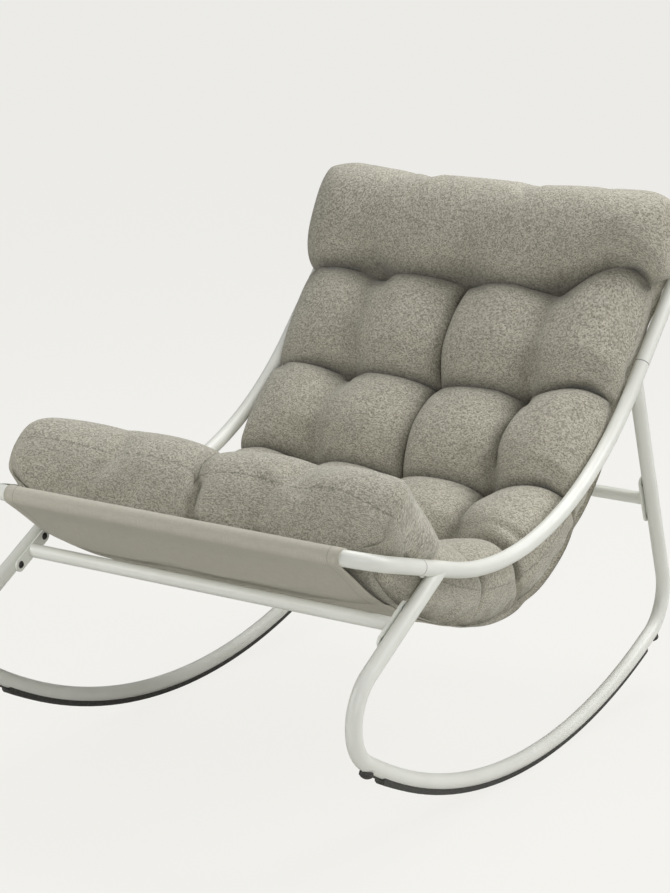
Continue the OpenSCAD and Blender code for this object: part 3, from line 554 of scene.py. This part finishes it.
def rounded(u, last):
    """Place, height over the folds and height at the cushion's edge, at u along the pillows."""
    cell = np.floor(np.clip(u, 0, last - 1e-9))
    t = u - cell
    place = cell + t * 0.3 + 0.7 * (1 - np.cos(np.pi * t)) / 2
    first, final = u < 0.5, u > last - 0.5
    place = np.where(first, 0.5 * (1 - np.cos(np.pi * u)), place)
    place = np.where(final, last - 0.5 * (1 - np.cos(np.pi * (last - u))), place)
    height = np.abs(np.sin(np.pi * u))
    return place, np.where(first | final, 1.0, height), np.where(first | final, height, 1.0)


def round_corner(x, s, corner_x, corner_s, way, radius):
    """Rounds one corner of the cushion's plan: the square at the corner turns into a disc."""
    dx = np.clip(1 - way * (corner_x - x) / radius, 0, 1)
    ds = np.clip(1 - np.where(corner_s < 500, s - corner_s, corner_s - s) / radius, 0, 1)
    inside = (dx > 0) & (ds > 0)
    x = np.where(inside, x + way * radius * dx * (np.sqrt(1 - ds ** 2 / 2) - 1), x)
    back = radius * ds * (1 - np.sqrt(1 - dx ** 2 / 2))
    return x, np.where(inside, s + np.where(corner_s < 500, back, -back), s)


def pillow_of(u, v):
    """Row, column and nearest upright fold of points at u across and v along the pillows."""
    row = np.clip(np.floor(v), 0, ROWS - 1).astype(int)
    column = np.clip(np.floor(u), 0, COLUMNS - 1).astype(int)
    fold = np.clip(np.round(u) - 1, 0, COLUMNS - 2).astype(int)
    return row, column, fold


print("a pillow's height at its quarters:", rounded(np.array([1.25, 1.5, 1.75]), 4)[1].round(2))

# %% Cushion form
# Over the middle of the sling's cloth, off the side tubes, and within the chair's width, in mm
OVER_SLING, OFF_TUBE, WIDEST = 1.1, 1.2, 352.0
# Radii of the plan's corners, in mm
FRONT_CORNER, HEAD_CORNER = 44, 80


def thickness(v, pu, a, b, edge, crown, front_roll, roll):
    """How thick the cushion is where a and b are the pillow's height across and along."""
    # The rolls at both ends have no tufts across them, so their folds are shallow
    fold_h = ROLL_FOLD_H + (crown - ROLL_FOLD_H) * 0.6 * roll
    top = (TUFT_H + 18 * rise(v, 5.5, 6.2) + (fold_h - TUFT_H) * np.maximum(a, b) ** 0.8
           + (crown - fold_h) * a ** 0.45 * b ** 0.6)
    # The front seam hangs lower at the right end, and dips where a fold reaches it
    seam_h = (SEAM_H + 10 * roll + 10 * (a - 0.7) * front_roll
              - 20 * front_roll * rise(pu, 1.35, 2.0) - 4 * front_roll * rise(-pu, 1.5, 2.0))
    return seam_h + (top - seam_h) * edge


def bowed(u, v, x, s, level):
    """Folds between rows bow up between the tufts, most at the right under the head roll."""
    fold_s = START + PITCH * np.round(v)
    bow = 4 * np.abs(np.sin(np.pi * u)) * bell(s, fold_s, 45) * ((v > 0.5) & (v < 5.5))
    bow = bow - 30 * bell(s, START + 3 * PITCH, 80) * rise(x, 230, HALF_CUSHION)
    s = s + bow * level
    for line, height in enumerate(RIGHT_BOW, 1):
        s = s + height * level * bell(x, 280, 80) * bell(s, START + line * PITCH, 80)
    return s


def walled(c, v, x, s, level):
    """Shapes the walls: tucked in at the foot, bulging under the seam, and round the corners."""
    belly = np.sin(np.pi * level ** 0.8) * 5 - 20 * (1 - level) ** 2.5
    at_side = bell(np.abs(c), COLUMNS / 2, 0.03) * (level < 1)
    at_front, at_head = bell(v, 0, 0.03) * (level < 1), bell(v, ROWS, 0.03) * (level < 1)
    size = np.maximum(np.sqrt(at_side ** 2 + np.maximum(at_front, at_head) ** 2), 1)
    x = x + np.sign(c) * belly * at_side / size
    tuck = 50 * np.clip(v - ROWS + 1, 0, 1) ** 2 * (1 - level)
    s = s + belly * (at_head - 1.3 * at_front) / size - tuck
    # The fold in the middle of the front roll runs on down the wall, with a softer one beside it
    creases = 20 * bell(x, 14 - 6 * level, 11) + 9 * bell(x, 128, 20)
    return x, s + at_front * creases * (1.2 - level * 0.6)


def cushion_mm(c, v, level):
    """Flat place (x, s, h) of the cushion's points, from column, row and level."""
    u = c + COLUMNS / 2
    pu, a, edge_u = rounded(u, COLUMNS)
    pv, b, edge_v = rounded(v, ROWS)
    pu, s = pu - COLUMNS / 2, START + PITCH * pv
    row, column, fold = pillow_of(u, v)
    front_roll, head_roll = rise(1 - v, 0.2, 0.7), rise(v - ROWS + 1, 0.2, 0.7)
    roll = np.maximum(front_roll, head_roll)
    crown = CROWN[row] + FULLER[row, column] * (1 - roll)
    # An open fold is a wide soft valley, and it still closes at the tufts
    under_head = bell(v, 6, 0.35) * (v < 6)
    soft = OPEN[row, fold] * rise(b, 0, 0.7 - 0.4 * under_head)
    soft = np.maximum(soft, 0.75 * under_head * (fold != 1))
    inner = (u > 0.5) & (u < COLUMNS - 0.5)
    a = np.where(inner, np.sqrt((a ** 2 + soft ** 2) / (1 + soft ** 2)), 1.0)
    pu = np.where(inner, pu + (c - pu) * np.minimum(soft * 1.3, 1), pu)
    edge = np.minimum(edge_u ** (0.9 + (0.45 - 0.55 * np.sign(c)) * front_roll), edge_v)
    thick = thickness(v, pu, a, b, edge, crown, front_roll, roll)
    # The head roll is fuller at its top, and the front end rises over its hoop
    thick = thick + np.clip(v - ROWS + 1, 0, 1) ** 2 * (22 + 8 * bell(pu, 0.9, 0.8))
    lift = 34 * np.clip(1 - (s - START) / 150, 0, 1) ** 2
    h = OVER_SLING + lift + thick * level
    # The sides pull in between the tufts, and the rolls reach out over the side tubes
    half = (HALF_CUSHION - 5 * np.cos(np.pi * v) ** 4 * (1 - roll)
            - 40 * bell(s, 590, 14) * rise(level, 0.05, 0.35) * (c > 0))
    in_roll = np.maximum(rise(1.2 - v, 0, 0.4), rise(v - ROWS + 1.2, 0, 0.6))
    over_tube = rise(h, tube_height(s) + 14, tube_height(s) + 40)
    half = half + (26 + 4 * head_roll) * in_roll * over_tube
    x = np.where(np.abs(pu) <= 1, pu * TUFT_PITCH,
                 np.sign(pu) * (TUFT_PITCH + (np.abs(pu) - 1) * (half - TUFT_PITCH)))
    s = bowed(u, v, x, s, level)
    for way in (-1, 1):
        x, s = round_corner(x, s, way * half, START, way, FRONT_CORNER - 6 * way)
        x, s = round_corner(x, s, way * half, END, way, HEAD_CORNER)
    x, s = walled(c, v, x, s, level)
    return np.stack([x, s, h + edge_lift(x, s)], axis=1)


def clear_of_frame(points):
    """Pushes points off the side tubes, which run along both sides of the cushion."""
    x, s, h = points.T
    middle = tube_height(s)
    dx, dh = HALF_TRACK - np.abs(x), h - middle
    room, near = TUBE_R + OFF_TUBE, np.hypot(dx, dh)
    push = np.where((near < room) & (near > 1e-6), room / np.maximum(near, 1e-6), 1.0)
    x = np.sign(x) * (HALF_TRACK - dx * push)
    h = middle + dh * push
    limit = np.where(h < middle + TUBE_R, HALF_TRACK - TUBE_R - 1.5, WIDEST)
    floor = OVER_SLING + edge_lift(x, s)
    return np.stack([np.clip(x, -limit, limit), s, np.maximum(h, floor)], axis=1)


tweed = Finish("cushion_tweed", srgb(170, 166, 151), 0.86, Sheen_Weight=0.2, Sheen_Roughness=0.5)
cushion = finished("tufted_cushion", box, tweed)
mesh = cushion.data
grid = corners(mesh)
column_at, row_at, level_at = grid.T
flat = clear_of_frame(cushion_mm(column_at, row_at, level_at))
print("cushion laid flat", (flat.max(axis=0) - flat.min(axis=0)).round(), "mm")

# %% Cushion cut and seam marks
# Each face gets its place in the cloth from the two axes along which it runs
COLUMN_WIDTH, WALL_HEIGHT = 2 * HALF_CUSHION / COLUMNS, 90
plain = grid * (COLUMN_WIDTH, PITCH, WALL_HEIGHT)
uv = np.empty((len(mesh.loops), 2), dtype=np.float32)
for face in mesh.polygons:
    ring = plain[list(face.vertices)]
    flat_axis = int(np.argmin(np.ptp(ring, axis=0)))
    keep = [axis for axis in range(3) if axis != flat_axis]
    uv[face.loop_start:face.loop_start + face.loop_total] = ring[:, keep] * MM
mesh.uv_layers.new(name="cut").data.foreach_set("uv", uv.ravel())

# Seams run round the upper and the lower edge of the wall. Each point keeps how far it is from
# the nearer one, in rough mm
TO_EDGE, TO_SEAM = 165, 80
edge_gap = np.minimum(COLUMNS / 2 - np.abs(column_at), np.minimum(row_at, ROWS - row_at))
seam_gap = edge_gap * TO_EDGE + np.minimum(1 - level_at, level_at) * TO_SEAM
seam = mesh.attributes.new("seam", "FLOAT", "POINT")
seam.data.foreach_set("value", seam_gap.astype(np.float32))
print("seam marks on", int((seam_gap < 2).sum()), "points")

# %% Cushion blown up against its tufts
# A tuft holds the cloth within this radius, and the rest moves this far at most, in mm
TUFT_R, MOST_MOVE, FRAMES = 7, 16, 20
set_corners(mesh, flat * MM)
tuft_u = np.abs(column_at - np.round(column_at)) * TO_EDGE
tuft_v = np.abs(row_at - np.round(row_at)) * PITCH
tufted = (np.abs(column_at) < 1.5) & (row_at > 0.5) & (row_at < ROWS - 0.5) & (level_at > 0.5)
held = (tufted & (np.hypot(tuft_u, tuft_v) < TUFT_R)) | (level_at < 0.01)
print("cloth held at", int(held.sum()), "of", len(held), "points")
pins = cushion.vertex_groups.new(name="pins")
pins.add(np.nonzero(held)[0].tolist(), 1.0, "REPLACE")
blow = cushion.modifiers.new("blow", "CLOTH")
setup = blow.settings
setup.quality, setup.mass, setup.time_scale = 6, 0.25, 1.0
setup.tension_stiffness = setup.compression_stiffness = 9
setup.shear_stiffness, setup.bending_stiffness = 3, 0.6
setup.use_pressure, setup.uniform_pressure_force = True, 4.0
setup.shrink_min = -0.06
setup.vertex_group_mass = "pins"
setup.effector_weights.gravity = 0
blow.collision_settings.use_collision = False
scene = bpy.context.scene
blow.point_cache.frame_start, blow.point_cache.frame_end = 1, FRAMES
for number in range(1, FRAMES + 1):
    scene.frame_set(number)
blown = cushion.evaluated_get(bpy.context.evaluated_depsgraph_get())
moved = corners(blown.data) / MM - flat
cushion.modifiers.remove(blow)
scene.frame_set(1)
far = np.linalg.norm(moved, axis=1)
print("cloth moved up to", round(far.max(), 1), "mm, on average", round(far.mean(), 1))
flat = flat + moved * np.minimum(1, MOST_MOVE / np.maximum(far, 1e-6))[:, None]

# %% Creases
# Where two pillows press together the cloth is pinched into a narrow crease. Deep in a fold the
# tweed's colour is also darkened with painted shade, more so between the rows.
CREASE_DEPTH = 14
u, on_top = column_at + COLUMNS / 2, level_at > 0.99
row, _, fold = pillow_of(u, row_at)
place_v, height_v, _ = rounded(row_at, ROWS)
to_column = np.abs(rounded(u, COLUMNS)[0] - np.clip(np.round(u), 1, COLUMNS - 1)) * TUFT_PITCH
to_row = np.abs(place_v - np.clip(np.round(row_at), 1, ROWS - 1)) * PITCH
open_here = OPEN[row, fold] * rise(height_v, 0, 0.5)
upright = bell(to_column, 0, 6) * (1 - rise(open_here, 0, 0.7))
crease = np.maximum(upright, bell(to_row, 0, 6)) * on_top
flat[:, 2] -= CREASE_DEPTH * crease
# Painted shade for the tweed, strongest deep in each fold and wider than the crease itself
upright_painted_shade = 0.9 * bell(to_column, 0, 13) * (1 - rise(open_here, 0, 0.9))
shade = np.maximum(upright_painted_shade, bell(to_row, 0, 16)) * on_top
painted_fold_shade = mesh.attributes.new("fold", "FLOAT", "POINT")
painted_fold_shade.data.foreach_set("value", shade.astype(np.float32))
print("creases on", int((crease > 0.3).sum()), "points")

# %% Puckers
# Small folds run out from every tuft and from both ends of each fold between rows.
x, s, _ = flat.T


def small_fold(dx, ds, angle, shape, start, curl=0.0):
    """Depth of a fold that runs from (dx, ds) = (0, 0) at an angle, with a soft ridge beside it."""
    length, width, depth = shape
    ahead = dx * np.cos(angle) + ds * np.sin(angle)
    aside = ds * np.cos(angle) - dx * np.sin(angle) + ahead ** 2 * curl / 1e3
    across = bell(aside, 0, width) - 0.5 * bell(aside, 1.7 * width, width)
    return depth * bell(ahead, length * start, length * 0.5) * across


strokes = np.random.default_rng(11)
pucker = np.zeros(len(flat))
for line in range(1, ROWS):
    for tuft in (-1, 0, 1):
        for angle in strokes.uniform(0, 2 * np.pi, 7):
            shape = strokes.uniform((26, 4, 2.5), (75, 8, 7.0))
            curl = strokes.uniform(-4, 4)
            pucker -= small_fold(x - tuft * TUFT_PITCH, s - START - PITCH * line,
                                 angle, shape, 0.6, curl)
for line in range(1, ROWS):
    for side in (-1, 1):
        for angle in strokes.uniform(-1.2, 1.2, 3):
            shape = strokes.uniform((40, 5, 3.0), (80, 9, 8.0))
            pucker -= small_fold(318 - side * x, s - START - PITCH * line, angle, shape, 0.5)
# Short folds that run along the rows at the right, where the tube presses the pillows back:
# the fold they lie by, how far past it, and their length
for line, past, length in ((3, 34, 46), (3, 58, 34), (4, 30, 40), (5, 28, 36), (5, 46, 26)):
    aside = s - START - PITCH * line - RIGHT_BOW[line - 1] - past + (x - 296) * 0.25
    pucker -= 8 * bell(x, 296, length) * (bell(aside, 0, 7) - 0.6 * bell(aside, 13, 8))
flat[:, 2] += pucker * level_at
print("puckers to", round(-pucker.min(), 1), "mm")

# %% Cushion laid in the sling
flat = clear_of_frame(flat)
y, z = side_view(flat[:, 1], flat[:, 2])
set_corners(mesh, at_rest(np.stack([flat[:, 0], y, z], axis=1)))
soften = cushion.modifiers.new("soften", "SUBSURF")
soften.levels = soften.render_levels = 1
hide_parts("cushion")
print("cushion", len(mesh.polygons), "faces")

# %% Tweed
# Each float of yarn on the face of the weave has its own tone. Sizes in metres
PICK, FLOAT, FLOAT_SHIFT = 0.0014, 0.0021, 0.37
# Dark of the seam stitches, also the colour of the painted shade deep in the folds
SEAM_AND_FOLD_SHADE_DARK = srgb(84, 81, 71)
cut_place = tweed.uv("cut")
across, along, _ = tweed.split(cut_place)
pick_row = (along / PICK).math("FLOOR")
float_column = (across / FLOAT + pick_row * FLOAT_SHIFT).math("FLOOR")
cell = tweed.node("ShaderNodeCombineXYZ", None, {0: float_column, 1: pick_row})
float_tone = tweed.node("ShaderNodeTexWhiteNoise", None, {"Vector": cell})
twist = tweed.noise(tweed.stretched(cut_place, 800, 380, turn=0.5), 1.0, 2.0, 0.6)
fleck = float_tone * 0.6 + twist.step(0.3, 0.7) * 0.4
drift = tweed.noise(cut_place, 14.0, 2.0)
yarn = tweed.blend(fleck, srgb(108, 105, 89), srgb(208, 203, 187))
tone = tweed.blend(drift.step(0.3, 0.7) * 0.12, yarn, srgb(120, 116, 102))
# Painted shade: the tweed is darkened deep in the folds between pillows
tone = tweed.blend(tweed.attribute("fold") * 0.5, tone, SEAM_AND_FOLD_SHADE_DARK)
stitches = tweed.noise(cut_place, 170.0, 1.0).step(0.42, 0.55)
mark = (1 - tweed.attribute("seam").step(0.7, 2.0)) * stitches
tweed.set("Base Color", tweed.blend(mark * 0.5, tone, SEAM_AND_FOLD_SHADE_DARK))
tweed.set("Roughness", 0.8 + fleck * 0.12)
tweed.bump(fleck * 0.9 - mark, 0.0004, 0.7)
print("tweed of", len(tweed.tree.nodes), "shader nodes")

# %% [markdown]
# ## Stage, light and camera
# The photograph is a cut-out on a plain pale ground, lit softly from several sides and most from
# above. The floor and the world look pale to the camera, and the floor keeps a faint shadow. The
# camera stands where the photograph's did, turned with the chair's rest tilt.

# %% Stage
PALE = srgb(240, 239, 235)
ground = Finish("pale_floor", srgb(214, 213, 209), 0.9)
camera_ray = ground.node("ShaderNodeLightPath")
glow = ground.node("ShaderNodeEmission", None, {"Color": PALE, "Strength": 1.06})
plain_face = Value(ground, ground.shader.outputs[0])
mixed = ground.node("ShaderNodeMixShader", None, {0: camera_ray * 0.9, 1: plain_face, 2: glow})
ground.plug(ground.tree.nodes["Material Output"].inputs["Surface"], mixed)
floor_bm = bmesh.new()
bmesh.ops.create_grid(floor_bm, x_segments=2, y_segments=2, size=30)
floor = mesh_object("floor", floor_bm, ground)
print("floor", [round(side) for side in floor.dimensions], "m")

# %% World
world = bpy.data.worlds.new("studio")
bpy.context.scene.world = world
world.use_nodes = True
tree = world.node_tree
tree.nodes.clear()
output = tree.nodes.new("ShaderNodeOutputWorld")
pick = tree.nodes.new("ShaderNodeMixShader")
rays = tree.nodes.new("ShaderNodeLightPath")
tree.links.new(rays.outputs["Is Camera Ray"], pick.inputs[0])
for slot, colour, strength in ((1, (1, 1, 1), 0.08), (2, PALE, 1.0)):
    light = tree.nodes.new("ShaderNodeBackground")
    light.inputs["Color"].default_value = (*colour, 1)
    light.inputs["Strength"].default_value = strength
    tree.links.new(light.outputs[0], pick.inputs[slot])
tree.links.new(pick.outputs[0], output.inputs[0])
print("world of", len(tree.nodes), "shader nodes")

# %% Lamps


def lamp(name, place, aim, size, watts):
    light = bpy.data.lights.new(name, "AREA")
    light.shape, light.size, light.energy = "DISK", size, watts
    holder = linked(name, light)
    holder.location = place
    holder.rotation_euler = (Vector(aim) - Vector(place)).to_track_quat("-Z", "Y").to_euler()


lamp("front left", (-1.2, -1.6, 1.25), (0, -0.1, 0.4), 1.2, 16)
lamp("front right", (2.2, -2.6, 1.4), (0, 0, 0.4), 1.8, 37)
lamp("top", (0, 1.3, 3.3), (0, 0, 0.4), 2.0, 64)
lamp("rear right", (2.4, 1.6, 2.8), (0, 0, 0.4), 2.0, 76)
print("lamps of", [light.energy for light in bpy.data.lights], "W")

# %% Camera
bpy.context.scene.view_settings.view_transform = "Standard"
lens = bpy.data.cameras.new("camera")
lens.sensor_fit, lens.sensor_width, lens.lens = "AUTO", 36, 97.68
lens.shift_x, lens.shift_y = 0.0072, 0.0144
camera = linked("camera", lens)
pan, dip = math.radians(31.57), math.radians(16.0)
aim = Vector((-math.sin(pan) * math.cos(dip), math.cos(pan) * math.cos(dip), -math.sin(dip)))
stand = Matrix.Translation((1.97415, -3.3567, 1.5664))
turn = aim.to_track_quat("-Z", "Y").to_matrix().to_4x4()
pivot = Matrix.Translation((0, ROCKER_C[0] * MM, ROCKER_C[1] * MM))
tilt = pivot @ Matrix.Rotation(math.radians(REST_TILT), 4, "X") @ pivot.inverted()
camera.matrix_world = tilt @ stand @ turn
bpy.context.scene.camera = camera
print("camera at", [round(v, 3) for v in camera.matrix_world.translation])
